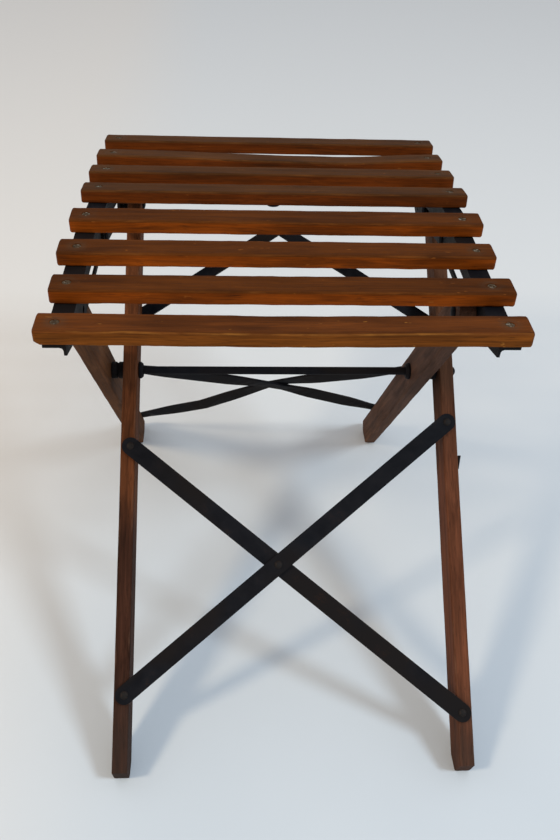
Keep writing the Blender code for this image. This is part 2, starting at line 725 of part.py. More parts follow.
def build():
    clear_scene()
    slat_wood = make_material("slat_wood", WOOD_SLAT, 0.45, 0.0)
    leg_wood = make_material("leg_wood", WOOD_LEG, 0.60, 0.0)
    iron = make_material("black_iron", BLACK_IRON, 0.42, 0.3)
    steel = make_material("screw_steel", SCREW_STEEL, 0.45, 0.8)

    stool = make_empty("stool_axes", (0.0, PIVOT_Y, PIVOT_HEIGHT), -STANCE_TILT)
    front_frame = make_empty("front_frame_axes", (0.0, 0.0, 0.0), -LEG_ANGLE, stool)
    rear_frame = make_empty("rear_frame_axes", (0.0, 0.0, 0.0), LEG_ANGLE, stool)
    rear_axes = make_empty("rear_seat_axes", (0.0, Layout.pin_y, Layout.pin_z), -REAR_SLOPE, stool)
    front_axes = make_empty("front_seat_axes", (0.0, 0.0, Layout.ridge_z), FRONT_SLOPE, stool)

    front_outline = leg_outline(1, Layout.front_lean, FRONT_SOLE, FRONT_TOE_RISE)
    rear_outline = leg_outline(-1, Layout.rear_lean, REAR_SOLE, REAR_TOE_RISE)
    for side, low in (("left", Layout.front_left), ("right", Layout.front_right)):
        make_leg("front_leg_" + side, front_frame, low, front_outline, leg_wood)
    for side, low in (("left", Layout.rear_left), ("right", Layout.rear_right)):
        make_leg("rear_leg_" + side, rear_frame, low, rear_outline, leg_wood)
    middle = LEG_THICK / 2
    front_ends = (Layout.front_left + middle + FRONT_BRACE_INSET,
                  Layout.front_right + middle - FRONT_BRACE_INSET)
    make_crossing("front", front_frame, (FRONT_FALLING_TOP, FRONT_FALLING_FOOT),
                  (FRONT_RISING_TOP, FRONT_RISING_FOOT), front_ends, -LEG_DEPTH / 2, -1, 0.0, iron)
    rear_ends = (Layout.rear_left + middle, Layout.rear_right + middle)
    make_crossing("rear", rear_frame, (REAR_FALLING_TOP, REAR_FALLING_FOOT),
                  (REAR_RISING_TOP, REAR_RISING_FOOT), rear_ends, LEG_DEPTH / 2, 1, REAR_BRACE_BOW, iron)
    make_upper_brace(front_frame, iron)
    make_pivot(front_frame, iron)
    make_leg_pins(front_frame, rear_frame, iron)
    make_lug(front_frame, iron)

    rear_fall = Layout.drop - REAR_SLOPE
    front_fall = Layout.drop - FRONT_SLOPE
    rear_ridge = (-Layout.link * cos(rear_fall), Layout.link * sin(rear_fall))
    front_pin = (-Layout.link * cos(front_fall), -Layout.link * sin(front_fall))
    rear_half = SeatHalf("rear", rear_axes, 1, rear_ridge, (0.0, 0.0), Layout.rear_rail_depth,
                         Layout.rear_webs, REAR_FLANGE_START, REAR_RIDGE_TO_SLAT)
    front_half = SeatHalf("front", front_axes, -1, (0.0, 0.0), front_pin, Layout.front_rail_depth,
                          Layout.front_webs, FRONT_FLANGE_START, FRONT_RIDGE_TO_SLAT)
    for half in (rear_half, front_half):
        for i, side in enumerate(("left", "right")):
            make_rail(half, side, half.webs[i], iron)
        make_slats(half, slat_wood, steel)
    make_ridge_pins(rear_half, iron)

    print_fold(stool)


build()
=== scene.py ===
"""The looks of the folding stool: worn wood, painted iron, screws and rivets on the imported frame.

Metres, in the frame's axes. A worn wooden piece is built in its own axes, with X along the grain,
Y across its width and Z through its thickness, so that its grain and its worn edges follow it.
"""
import json
from math import atan2, cos, pi, radians, sin, sqrt, tan

import bmesh
import bpy
from mathutils import Matrix, Vector, noise


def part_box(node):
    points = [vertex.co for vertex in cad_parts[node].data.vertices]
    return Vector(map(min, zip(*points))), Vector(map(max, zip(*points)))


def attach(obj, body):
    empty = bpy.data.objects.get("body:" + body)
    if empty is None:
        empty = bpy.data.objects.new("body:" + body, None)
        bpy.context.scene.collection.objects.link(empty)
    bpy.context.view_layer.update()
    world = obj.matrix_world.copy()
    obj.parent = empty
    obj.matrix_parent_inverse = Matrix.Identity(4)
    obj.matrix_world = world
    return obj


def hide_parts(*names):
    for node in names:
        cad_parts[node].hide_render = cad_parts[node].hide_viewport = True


# Camera, from the photograph
PHOTO_HEIGHT = 840
FOCAL_PIXELS = 854.4
SENSOR = 36.0
CAMERA_PLACE = Vector((-0.0422, -0.6769, 0.7556))
CAMERA_YAW = 0.0696
CAMERA_PITCH = 0.6730
CAMERA_ROLL = 0.0437
CLIP_START = 0.01

# Light: each lamp's place, size, power and colour, where they point, and the pale surroundings
LAMPS = {
    "window": ((2.2, -1.5, 3.0), 0.9, 68.0, (0.74, 0.89, 1.0)),
    "lamp": ((-2.2, -1.4, 2.6), 0.6, 48.0, (1.0, 0.82, 0.58)),
}
LAMP_AIM = Vector((0.0, 0.0, 0.2))
SKY_COLOUR = (0.90, 0.92, 0.95, 1.0)
SKY_STRENGTH = 0.64

# Floor: its size, and its colours in front, behind, painted paler as more light, and to the left,
# painted warmer as lamplight
FLOOR_REACH = 6.0
FLOOR_CELLS = 4
FLOOR_NEAR_DARK = (0.585, 0.635, 0.690)
FLOOR_NEAR_PALE = (0.620, 0.665, 0.715)
FLOOR_FAR_PAINTED_LIGHT = (0.730, 0.740, 0.750)
FLOOR_LEFT_PAINTED_WARM_LIGHT = (0.800, 0.750, 0.700)

# Slats
HALVES = ("rear", "front")
SIDES = ("left", "right")
SLATS_PER_HALF = 4
SLAT_WIDTH = 0.025
SLAT_THICK = 0.0122
SLAT_EASE = 0.0017
SLAT_CORNER = 0.0030
SLAT_STATIONS = 72
CHIPPED_SLAT = "front_slat_4"
CHIP_LENGTH = 0.0080
CHIP_DEPTH = 0.0090
CHIP_HEIGHT = 0.0056

# Bent slats: how deep one sags and where along it, and how far the ends of another curl up
SLAT_SAG = {"rear_slat_3": (0.0041, 0.07)}
SLAT_CURL = {"front_slat_4": 0.0014}

# What the mesh of a slat keeps for its wood: its points before it bent, and the grime round its screws
STRAIGHT = "straight_place"
STAIN = "screw_stain"

# Woods of the slats: sides, painted brighter and more orange as if lit, tops, painted darker and greyer
# as shade and reflection over real wear, rubbed edges, and how far the front upper edge is rubbed
# through
SLAT_WOODS = {
    "rear_slat_wood": ((0.098, 0.020, 0.0018), (0.071, 0.0246, 0.0058), (0.150, 0.050, 0.010), 0.20),
    "front_slat_wood": ((0.186, 0.0375, 0.0020), (0.078, 0.0208, 0.0026), (0.200, 0.062, 0.010), 0.30),
    "last_slat_wood": ((0.135, 0.039, 0.0050), (0.097, 0.0265, 0.0048), (0.300, 0.120, 0.020), 0.95),
}
SCREW_GRIME = (0.058, 0.040, 0.024)
SLAT_PORE = (0.010, 0.004, 0.002)
SLAT_RUB = 0.0022

# The gilded line on a front upper edge: its width, and how far from a slat's middle it is full and ends
GILT_WIDTH = 0.0017
GILT_FULL = 0.09
GILT_END = 0.172

# Legs
LEG_THICK = 0.014
LEG_DEPTH = 0.034
LEG_UPPER = 0.1824
LEG_EASE = 0.0016
FOOT_EASE = 0.0006
LEG_STATIONS = 110
FRONT_LEAN = radians(50.7)
REAR_LEAN = radians(39.3)
FRONT_SOLE = 0.012
FRONT_TOE_RISE = 0.0085
REAR_SOLE = 0.019
REAR_TOE_RISE = 0.002
PIVOT_BORE = 0.0044
PIN_BORE = 0.0034
FRONT_SEED = 41
REAR_SEED = 51

# Woods of the legs: middle colour, colour further up, where the two meet and where the dirt begins
LEG_WOODS = {
    "front_leg_left": ("dark_leg_wood", (0.040, 0.0150, 0.0086), (0.096, 0.0310, 0.0115), -0.15, -0.27),
    # The right front leg's darker colour further up is painted shade under the seat
    "front_leg_right": ("red_leg_wood", (0.098, 0.033, 0.0160), (0.062, 0.0270, 0.0145), -0.05, -0.272),
    "rear_leg_left": ("russet_leg_wood", (0.100, 0.040, 0.0165), (0.100, 0.040, 0.0165), 0.0, -0.27),
    "rear_leg_right": ("brown_leg_wood", (0.102, 0.047, 0.0270), (0.078, 0.039, 0.0255), -0.13, -0.30),
}
LEG_RUBBED = (0.185, 0.095, 0.058)
LEG_DIRT = (0.044, 0.031, 0.025)
SOLE_DIRT = (0.020, 0.017, 0.016)
LEG_PORE = (0.010, 0.005, 0.003)
LEG_RUB = 0.0024

# Along a leg: how far its two colours mix, and the reach of its dirt and of its black sole
JOIN_REACH = 0.11
DIRT_REACH = (0.06, -0.10)
SOLE_REACH = (-0.105, -0.125)

# Screws
SCREW_RADIUS = 0.0034
SCREW_SHANK = 0.0017
SCREW_SINK = 0.0004
SCREW_HEAD_DEPTH = 0.0022
SCREW_CLEARANCE = 0.0003
SLOT_WIDTH = 0.0009
SLOT_DEPTH = 0.0004
SCREW_STAIN = 0.0095
SCREW_SEEDS = {"left": 20, "right": 30}
SCREW_TURNS = 40.0
STEEL_DIRTY = (0.036, 0.022, 0.012)
STEEL_DULL = (0.080, 0.052, 0.030)
# The pale spots on the screw heads, painted as glints of light
STEEL_PAINTED_GLINT = (0.300, 0.280, 0.240)

# Iron
IRON_EASE = 0.0005
IRON_EASE_STEPS = 2
IRON_EASE_ANGLE = radians(40.0)
WELD_REACH = 0.00002
BRACE_THICK = 0.003
SEAT_GAP = 0.0003
FRONT_BRACE_INSET = 0.003
FRONT_FALLING = (0.0818, 0.334)
FRONT_RISING = (0.058, 0.3133)
RIVET_RADIUS = 0.0039
RIVET_HEIGHT = 0.0015
STUD_RADIUS = 0.0064
STUD_TIP_RADIUS = 0.85 * STUD_RADIUS
STUD_HEIGHT = 0.0017
STUD_SHOULDER = 0.6 * STUD_HEIGHT
STUD_ACROSS = -0.0027
STUD_INSET = 0.0069
PAINT_DARK = (0.0038, 0.0041, 0.0062)
PAINT_PALE = (0.0088, 0.0088, 0.0112)
PAINT_BROWN = (0.0092, 0.0068, 0.0062)
PAINT_RUST = (0.030, 0.014, 0.008)
RIVET_DARK = (0.006, 0.0055, 0.0055)
RIVET_BROWN = (0.010, 0.0075, 0.007)
RIVET_RUST = (0.027, 0.014, 0.009)

# Facets
ROUND_STEPS = 32
CORNER_STEPS = 4
WIDE_STEPS = 10
THIN_STEPS = 2
SHARP_ANGLE = radians(50.0)

# Unevenness: how much the rounding of an edge varies, along it and from edge to edge, and the dents
WEAR = 0.45
WEAR_WAVES = (14.0, 5.0)
WEAR_RIPPLES = (60.0, 9.0)
DENT = 0.00012
DENTS_ALONG = 40.0
DENTS_ACROSS = 90.0
SEED_STEP = (7.31, -3.17, 1.93)
GRAIN_STEP = (0.713, 0.137, 0.059)


class Shader:
    """One material, with short calls that add its nodes."""

    def __init__(self, name, kept=None):
        self.kept = kept
        self.material = bpy.data.materials.new(name)
        self.material.use_nodes = True
        self.tree = self.material.node_tree
        self.surface = self.tree.nodes["Principled BSDF"].inputs

    def skin(self, colour, rough, specular):
        """Its colour, roughness and shine."""
        self.set(self.surface["Base Color"], colour)
        self.set(self.surface["Roughness"], rough)
        self.set(self.surface["Specular IOR Level"], specular)

    def set(self, socket, value):
        """Link a socket to another, or give it a plain value."""
        if isinstance(value, bpy.types.NodeSocket):
            self.tree.links.new(value, socket)
        else:
            socket.default_value = value

    def add(self, kind, inputs, **settings):
        """A new node with these inputs and settings."""
        made = self.tree.nodes.new(kind)
        for name, value in settings.items():
            setattr(made, name, value)
        for key, value in inputs.items():
            self.set(made.inputs[key], value)
        return made

    def math(self, operation, first, second, third=0.0):
        made = self.add("ShaderNodeMath", {0: first, 1: second, 2: third}, operation=operation)
        return made.outputs[0]

    def times(self, *values):
        result = values[0]
        for value in values[1:]:
            result = self.math("MULTIPLY", result, value)
        return result

    def blend(self, *pairs):
        """The sum of each value times its weight."""
        result = 0.0
        for value, weight in pairs:
            result = self.math("MULTIPLY_ADD", value, weight, result)
        return result

    def vector(self, operation, first, second):
        return self.add("ShaderNodeVectorMath", {0: first, 1: second}, operation=operation).outputs[0]

    def axes(self, vector):
        """A vector's X, Y and Z."""
        return self.add("ShaderNodeSeparateXYZ", {0: vector}).outputs

    def noise(self, vector, along, across, detail, rough=0.55):
        """Noise with one scale along X and another across it."""
        stretched = self.vector("MULTIPLY", vector, (along, across, across))
        inputs = {"Vector": stretched, "Scale": 1.0, "Detail": detail, "Roughness": rough}
        return self.add("ShaderNodeTexNoise", inputs).outputs[0]

    def step(self, value, low, high):
        """A smooth rise from 0 at low to 1 at high."""
        inputs = {"Value": value, "From Min": low, "From Max": high}
        return self.add("ShaderNodeMapRange", inputs, interpolation_type="SMOOTHSTEP").outputs[0]

    def ramp(self, value, *stops):
        """A colour that follows a value through (value, colour) stops."""
        made = self.add("ShaderNodeValToRGB", {0: value})
        points = made.color_ramp.elements
        while len(points) < len(stops):
            points.new(0.5)
        for point, (place, colour) in zip(points, stops):
            point.position = place
            point.color = (*colour, 1.0)
        return made.outputs[0]

    def mix(self, factor, first, second):
        made = self.add("ShaderNodeMix", {0: factor}, data_type="RGBA")
        for index, value in ((6, first), (7, second)):
            self.set(made.inputs[index], (*value, 1.0) if isinstance(value, tuple) else value)
        return made.outputs[2]

    def bump(self, height, distance, strength):
        """Fine relief on the surface."""
        inputs = {"Height": height, "Distance": distance, "Strength": strength}
        self.set(self.surface["Normal"], self.add("ShaderNodeBump", inputs).outputs[0])

    def place(self):
        """A piece's own coordinates, or those that its mesh keeps under a name."""
        if self.kept:
            return self.add("ShaderNodeAttribute", {}, attribute_name=self.kept).outputs["Vector"]
        return self.add("ShaderNodeTexCoord", {}).outputs["Object"]

    def grain_place(self):
        """Its coordinates moved by its number, so that no two pieces share one grain."""
        number = self.add("ShaderNodeObjectInfo", {}).outputs["Object Index"]
        shift = self.vector("MULTIPLY", GRAIN_STEP, number)
        return self.vector("ADD", self.place(), shift)


def wood_grain(shader):
    """A plank's place in its grain, and its streaks, fibres, cloudy patches and pores from 0 to 1."""
    grain = shader.grain_place()
    warp = shader.noise(grain, 7.0, 40.0, 2.0)
    bend = shader.math("MULTIPLY_ADD", warp, 0.012, -0.006)
    drift = shader.add("ShaderNodeCombineXYZ", {1: bend, 2: bend}).outputs[0]
    grain = shader.vector("ADD", grain, drift)
    streak = shader.noise(grain, 2.6, 150.0, 5.0, 0.62)
    fibre = shader.noise(grain, 16.0, 900.0, 3.0, 0.60)
    cloud = shader.noise(grain, 13.0, 34.0, 3.0, 0.50)
    pore = shader.noise(grain, 70.0, 1900.0, 2.0, 0.50)
    return grain, streak, fibre, cloud, shader.step(pore, 0.60, 0.72)


def edge_nearness(shader, width, thick, reach):
    """1 along a bar's long edges, falling to 0 at reach from them."""
    axes = shader.axes(shader.place())
    side = shader.math("SUBTRACT", width / 2, shader.math("ABSOLUTE", axes[1], 0.0))
    face = shader.math("SUBTRACT", thick / 2, shader.math("ABSOLUTE", axes[2], 0.0))
    away = shader.math("ADD", shader.math("MAXIMUM", side, 0.0), shader.math("MAXIMUM", face, 0.0))
    return shader.math("SUBTRACT", 1.0, shader.step(away, 0.0, reach))


def shade(colour, factor):
    """A colour made darker or paler."""
    return tuple(part * factor for part in colour)


def toned(shader, tone, spread, colour, dark, pale):
    """A colour that darkens and pales with the tone of its grain."""
    return shader.ramp(tone, (0.5 - spread, shade(colour, dark)), (0.5, colour),
                       (0.5 + spread, shade(colour, pale)))


def slat_wood(name, side, top, arris, worn):
    """Varnished brown wood: sides painted bright and orange as if lit, top painted dull and greyer as
    shade and reflection over real wear and dirt, rubbed along its edges.

    side and top are its middle colours, side painted bright as if lit and top painted darker and greyer
    as shade and reflection over real wear, arris the colour of its rubbed edges, and worn how far its
    front upper edge is rubbed through, from 0 to 1.
    """
    shader = Shader(name, STRAIGHT)
    grain, streak, fibre, cloud, pore = wood_grain(shader)
    tone = shader.blend((streak, 0.36), (fibre, 0.40), (cloud, 0.24))
    # Painted light: the sides take a brighter, more orange colour as if lit, the top a darker, greyer
    # one as shade and reflection over real wear
    low = toned(shader, tone, 0.14, side, 0.48, 1.60)
    high = toned(shader, tone, 0.14, top, 0.55, 1.50)
    axes = shader.axes(shader.place())
    upper = shader.step(axes[2], SLAT_THICK * 0.28, SLAT_THICK * 0.46)
    colour = shader.mix(upper, low, high)
    grime = shader.step(shader.noise(grain, 9.0, 60.0, 4.0), 0.48, 0.68)
    colour = shader.mix(shader.times(grime, 0.50), colour, shade(top, 0.30))
    stain = shader.add("ShaderNodeAttribute", {}, attribute_name=STAIN).outputs["Fac"]
    cover = shader.times(stain, upper, shader.step(cloud, 0.30, 0.60))
    colour = shader.mix(shader.times(cover, 0.75), colour, SCREW_GRIME)
    edge = edge_nearness(shader, SLAT_WIDTH, SLAT_THICK, SLAT_RUB)
    rub = shader.step(shader.noise(grain, 24.0, 220.0, 4.0, 0.6), 0.50, 0.64)
    colour = shader.mix(shader.times(edge, rub, 0.60), colour, arris)
    front = shader.step(axes[1], -SLAT_WIDTH * 0.40, -SLAT_WIDTH * 0.48)
    patch = shader.step(shader.noise(grain, 22.0, 160.0, 4.0, 0.65), 0.34, 0.56)
    inner = shader.step(shader.math("ABSOLUTE", axes[0], 0.0), GILT_END, GILT_FULL)
    line = edge_nearness(shader, SLAT_WIDTH, SLAT_THICK, GILT_WIDTH)
    colour = shader.mix(shader.times(line, front, upper, patch, inner, worn), colour, shade(arris, 1.25))
    colour = shader.mix(shader.times(pore, 0.50), colour, SLAT_PORE)
    nick = shader.step(shader.noise(grain, 90.0, 330.0, 2.0, 0.5), 0.72, 0.76)
    colour = shader.mix(shader.times(nick, 0.55), colour, shade(arris, 1.30))
    shader.skin(colour, shader.math("MULTIPLY_ADD", fibre, 0.30, 0.50), 0.05)
    shader.bump(shader.blend((fibre, 0.6), (pore, -0.5)), 0.0004, 0.35)
    return shader.material


def leg_wood(name, middle, upper, join, foot):
    """Dull brown wood, paler where its edges are rubbed and dirty towards its foot.

    middle is its middle colour and upper the same further up. join is where along the leg, from the
    pivot, the two meet, and foot where its dirt begins.
    """
    shader = Shader(name)
    grain, streak, fibre, cloud, pore = wood_grain(shader)
    tone = shader.blend((streak, 0.45), (fibre, 0.30), (cloud, 0.25))
    axes = shader.axes(shader.place())
    colour = toned(shader, tone, 0.16, middle, 0.38, 1.85)
    above = toned(shader, tone, 0.16, upper, 0.38, 1.85)
    cloudy = shader.math("MULTIPLY_ADD", cloud, 0.12, axes[0])
    colour = shader.mix(shader.step(cloudy, join, join + JOIN_REACH), colour, above)
    stain = shader.step(shader.noise(grain, 14.0, 80.0, 4.0, 0.6), 0.50, 0.70)
    colour = shader.mix(shader.times(stain, 0.60), colour, shade(middle, 0.30))
    edge = edge_nearness(shader, LEG_DEPTH, LEG_THICK, LEG_RUB)
    rub = shader.step(shader.noise(grain, 26.0, 240.0, 4.0, 0.6), 0.50, 0.64)
    colour = shader.mix(shader.times(edge, rub, 0.55), colour, LEG_RUBBED)
    dirt = shader.step(cloudy, foot + DIRT_REACH[0], foot + DIRT_REACH[1])
    colour = shader.mix(shader.times(dirt, 0.62), colour, LEG_DIRT)
    sole = shader.step(cloudy, foot + SOLE_REACH[0], foot + SOLE_REACH[1])
    colour = shader.mix(shader.times(sole, 0.70), colour, SOLE_DIRT)
    colour = shader.mix(shader.times(pore, 0.55), colour, LEG_PORE)
    shader.skin(colour, shader.math("MULTIPLY_ADD", fibre, 0.25, 0.60), 0.05)
    shader.bump(shader.blend((fibre, 0.6), (pore, -0.6)), 0.0005, 0.40)
    return shader.material


def black_iron():
    """Black paint, bluish or brown by turns, over iron that has begun to rust."""
    shader = Shader("black_iron")
    place = shader.place()
    cloud = shader.noise(place, 60.0, 60.0, 4.0, 0.6)
    grit = shader.noise(place, 900.0, 900.0, 3.0, 0.6)
    colour = shader.ramp(cloud, (0.35, PAINT_DARK), (0.65, PAINT_PALE))
    brown = shader.step(shader.noise(place, 9.0, 9.0, 2.0), 0.44, 0.58)
    colour = shader.mix(shader.times(brown, 0.80), colour, PAINT_BROWN)
    rust = shader.times(shader.step(cloud, 0.57, 0.70), shader.step(grit, 0.44, 0.62), 0.45)
    colour = shader.mix(rust, colour, PAINT_RUST)
    shader.skin(colour, shader.math("MULTIPLY_ADD", cloud, 0.35, 0.46), 0.07)
    shader.bump(grit, 0.0002, 0.25)
    return shader.material


def rusty_iron():
    """Rivet heads whose paint has given way to dark rust."""
    shader = Shader("rusty_iron")
    grit = shader.noise(shader.place(), 700.0, 700.0, 4.0, 0.65)
    colour = shader.ramp(grit, (0.36, RIVET_DARK), (0.54, RIVET_BROWN), (0.70, RIVET_RUST))
    shader.skin(colour, shader.math("MULTIPLY_ADD", grit, 0.30, 0.50), 0.16)
    shader.bump(grit, 0.0003, 0.5)
    return shader.material


def screw_steel():
    """Dull, dirty steel with a few spots painted pale as glints of light, and made shinier there."""
    shader = Shader("screw_steel")
    cloud = shader.noise(shader.grain_place(), 520.0, 520.0, 3.0, 0.6)
    # Painted highlight: a few spots painted pale as glints of light, also made more metallic and
    # smoother
    glint_and_shine = shader.step(cloud, 0.58, 0.66)
    colour = shader.ramp(cloud, (0.38, STEEL_DIRTY), (0.58, STEEL_DULL), (0.66, STEEL_PAINTED_GLINT))
    shader.skin(colour, shader.math("MULTIPLY_ADD", glint_and_shine, -0.30, 0.72), 0.1)
    shader.set(shader.surface["Metallic"], shader.times(glint_and_shine, 0.5))
    shader.bump(cloud, 0.0001, 0.4)
    return shader.material


def pale_floor():
    """A pale floor, faintly cool in front, painted paler behind as more light, and painted warmer to the
    left as lamplight.
    """
    shader = Shader("pale_floor")
    cloud = shader.noise(shader.place(), 3.0, 3.0, 3.0, 0.5)
    axes = shader.axes(shader.place())
    near = shader.ramp(cloud, (0.30, FLOOR_NEAR_DARK), (0.70, FLOOR_NEAR_PALE))
    # Painted light: the floor grows paler behind, as if lit more there
    colour = shader.mix(shader.step(axes[1], -0.40, 0.50), near, FLOOR_FAR_PAINTED_LIGHT)
    # Painted light: a warm pool of lamplight painted on the floor's left
    warm = shader.step(axes[0], -0.10, -0.45)
    colour = shader.mix(shader.times(warm, 0.65), colour, FLOOR_LEFT_PAINTED_WARM_LIGHT)
    shader.skin(colour, 0.9, 0.2)
    return shader.material


def link(name, bm, material=None):
    """A mesh object from a bmesh, in its own axes."""
    bmesh.ops.recalc_face_normals(bm, faces=bm.faces)
    mesh = bpy.data.meshes.new(name)
    bm.to_mesh(mesh)
    bm.free()
    made = bpy.data.objects.new(name, mesh)
    bpy.context.scene.collection.objects.link(made)
    if material:
        mesh.materials.append(material)
    return made


def cut(piece, cutter):
    """Take the cutter's shape out of a piece, for good."""
    boolean = piece.modifiers.new("Cut", "BOOLEAN")
    boolean.operation = "DIFFERENCE"
    boolean.solver = "EXACT"
    boolean.object = cutter
    graph = bpy.context.evaluated_depsgraph_get()
    whole = piece.data
    piece.data = bpy.data.meshes.new_from_object(piece.evaluated_get(graph))
    piece.modifiers.clear()
    bpy.data.meshes.remove(whole)
    bpy.data.objects.remove(cutter, do_unlink=True)


def lathe(bm, profile, place=Matrix()):
    """Turn (along, radius) points about the Z axis of place."""
    rings = []
    for along, radius in profile:
        ring = []
        for i in range(ROUND_STEPS):
            angle = 2.0 * pi * i / ROUND_STEPS
            ring.append(bm.verts.new(place @ Vector((radius * cos(angle), radius * sin(angle), along))))
        rings.append(ring)
    bm.faces.new(rings[0])
    bm.faces.new(rings[-1])
    for first, second in zip(rings, rings[1:]):
        for i in range(ROUND_STEPS):
            j = (i + 1) % ROUND_STEPS
            bm.faces.new((first[i], first[j], second[j], second[i]))


def uneven(seed, x, y=0.0, z=0.0):
    """Smooth noise from -1 to 1, the same in every run."""
    moved = [value + step * seed for value, step in zip((x, y, z), SEED_STEP)]
    return noise.noise(Vector(moved))


def section(half_width, half_thick, radii):
    """A bar's rounded section as a ring of (y, z) points that starts halfway up its +Y side.

    The ring's second half mirrors its first, so that a point and its partner can close a bar's end.
    """
    corners = []
    for number, (right, upper) in enumerate(((1, 1), (-1, 1), (-1, -1), (1, -1))):
        radius = radii[number]
        points = []
        for i in range(CORNER_STEPS + 1):
            turn = (pi / 2) * (number + i / CORNER_STEPS)
            points.append(Vector((right * (half_width - radius) + radius * cos(turn),
                                  upper * (half_thick - radius) + radius * sin(turn))))
        corners.append(points)
    ring = []
    for number, points in enumerate(corners):
        following = corners[(number + 1) % 4][0]
        steps = (WIDE_STEPS, THIN_STEPS + 1)[number % 2]
        ring += points
        ring += [points[-1].lerp(following, i / steps) for i in range(1, steps)]
    lead = THIN_STEPS // 2
    return ring[-lead:] + ring[:-lead]


def worn_bar(size, start, finish, ease, blunt, stations, seed, shift):
    """A bar along X with eased, uneven edges.

    size is its width and thickness, ease and blunt the rounding of its long edges and of its ends.
    start(y) and finish(y) say where its two ends lie across its width, and shift(x) moves a station
    up or down.
    """
    half_width = size[0] / 2
    half_thick = size[1] / 2
    places = [(i / stations, 0.0) for i in range(1, stations)]
    for i in range(CORNER_STEPS + 1):
        turn = (pi / 2) * i / CORNER_STEPS
        places.insert(0, (0.0, turn))
        places.append((1.0, turn))
    bm = bmesh.new()
    rows = []
    for share, turn in places:
        radii = []
        for corner in range(4):
            waves = uneven(seed, share * WEAR_WAVES[0], corner * WEAR_WAVES[1])
            ripples = uneven(seed, share * WEAR_RIPPLES[0], corner * WEAR_RIPPLES[1])
            radii.append(ease * (1.0 + WEAR * (waves + 0.5 * ripples)))
        limit = half_thick - blunt * (1.0 - cos(turn))
        row = []
        for y, z in section(half_width, half_thick, radii):
            low = start(y)
            high = finish(y)
            x = low + (high - low) * share
            if share == 0.0:
                x += blunt * (1.0 - sin(turn))
            if share == 1.0:
                x -= blunt * (1.0 - sin(turn))
            z = max(-limit, min(limit, z))
            dent = DENT * uneven(seed, x * DENTS_ALONG, y * DENTS_ACROSS, z * DENTS_ACROSS)
            row.append(bm.verts.new((x, y + dent, z + dent + shift(x))))
        rows.append(row)
    count = len(rows[0])
    for first, second in zip(rows, rows[1:]):
        for i in range(count):
            j = (i + 1) % count
            bm.faces.new((first[i], first[j], second[j], second[i]))
    for row in (rows[0], rows[-1]):
        for i in range(count // 2 - 1):
            bm.faces.new((row[i], row[i + 1], row[count - 2 - i], row[count - 1 - i]))
    return bm


def middle_of(node):
    """The middle of a node's box."""
    low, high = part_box(node)
    return (Vector(low) + Vector(high)) / 2


def finish_piece(piece, axes, body, node=None):
    """Put a piece in its place, let it ride, and let it stand for its node."""
    piece.matrix_world = axes
    piece.data.shade_smooth()
    piece.data.set_sharp_from_angle(angle=SHARP_ANGLE)
    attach(piece, body)
    if node:
        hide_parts(node)


def slat_axes(half, number):
    """A slat's middle, with its own Y axis along the slope of its half of the seat."""
    first = middle_of("%s_slat_1" % half)
    last = middle_of("%s_slat_%d" % (half, SLATS_PER_HALF))
    rear, front = (last, first) if half == "rear" else (first, last)
    slope = atan2(rear.z - front.z, rear.y - front.y)
    place = middle_of("%s_slat_%d" % (half, number))
    return Matrix.Translation(place) @ Matrix.Rotation(slope, 4, "X")


def corner_cut(y):
    """How far a slat's end is rounded back across its width."""
    past = max(0.0, abs(y) - (SLAT_WIDTH / 2 - SLAT_CORNER))
    return SLAT_CORNER - sqrt(max(SLAT_CORNER ** 2 - past ** 2, 0.0))


def make_slat(half, number, seed, wood, steel):
    """One slat, with its two countersunk slotted screws."""
    node = "%s_slat_%d" % (half, number)
    low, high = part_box(node)
    reach = (high[0] - low[0]) / 2
    axes = slat_axes(half, number)
    sag, lowest = SLAT_SAG.get(node, (0.0, 0.0))
    curl = SLAT_CURL.get(node, 0.0)

    def start(y):
        return corner_cut(y) - reach

    def finish(y):
        return reach - corner_cut(y)

    def shift(x):
        span = reach + lowest if x < lowest else reach - lowest
        middle = 0.5 + 0.5 * cos(pi * (x - lowest) / span)
        return curl * (1.0 - middle) - sag * middle

    size = (SLAT_WIDTH, SLAT_THICK)
    bm = worn_bar(size, start, finish, SLAT_EASE, SLAT_EASE, SLAT_STATIONS, seed, shift)
    if node == CHIPPED_SLAT:
        chip_corner(bm, reach)
    slat = link("worn_" + node, bm, wood)
    slat.pass_index = seed
    screws = ["%s_screw_%d_%s" % (half, number, side) for side in SIDES]
    places = [middle_of(screw).x - axes.translation.x for screw in screws]
    stain_screws(slat, places)
    for side, screw, across in zip(SIDES, screws, places):
        top = Matrix.Translation((across, 0.0, SLAT_THICK / 2 + shift(across)))
        bm = bmesh.new()
        lathe(bm, screw_profile(SCREW_CLEARANCE), top)
        cut(slat, link("sink", bm))
        angle = pi * uneven(seed, across * SCREW_TURNS)
        make_screw(screw, half, axes @ top, angle, steel, seed + SCREW_SEEDS[side])
    mark_straight(slat, shift)
    finish_piece(slat, axes, half + "_seat", node)


def chip_corner(bm, reach):
    """Break away the lower front corner at a slat's left end."""
    corner = Vector((-reach, -SLAT_WIDTH / 2, -SLAT_THICK / 2))
    inward = Vector((1.0 / CHIP_LENGTH, 1.0 / CHIP_DEPTH, 1.0 / CHIP_HEIGHT))
    start = corner + Vector((CHIP_LENGTH, 0.0, 0.0))
    whole = bm.verts[:] + bm.edges[:] + bm.faces[:]
    sliced = bmesh.ops.bisect_plane(bm, geom=whole, plane_co=start, plane_no=inward.normalized(),
                                    clear_inner=True)
    rim = [item for item in sliced["geom_cut"] if isinstance(item, bmesh.types.BMEdge)]
    bmesh.ops.edgeloop_fill(bm, edges=rim)


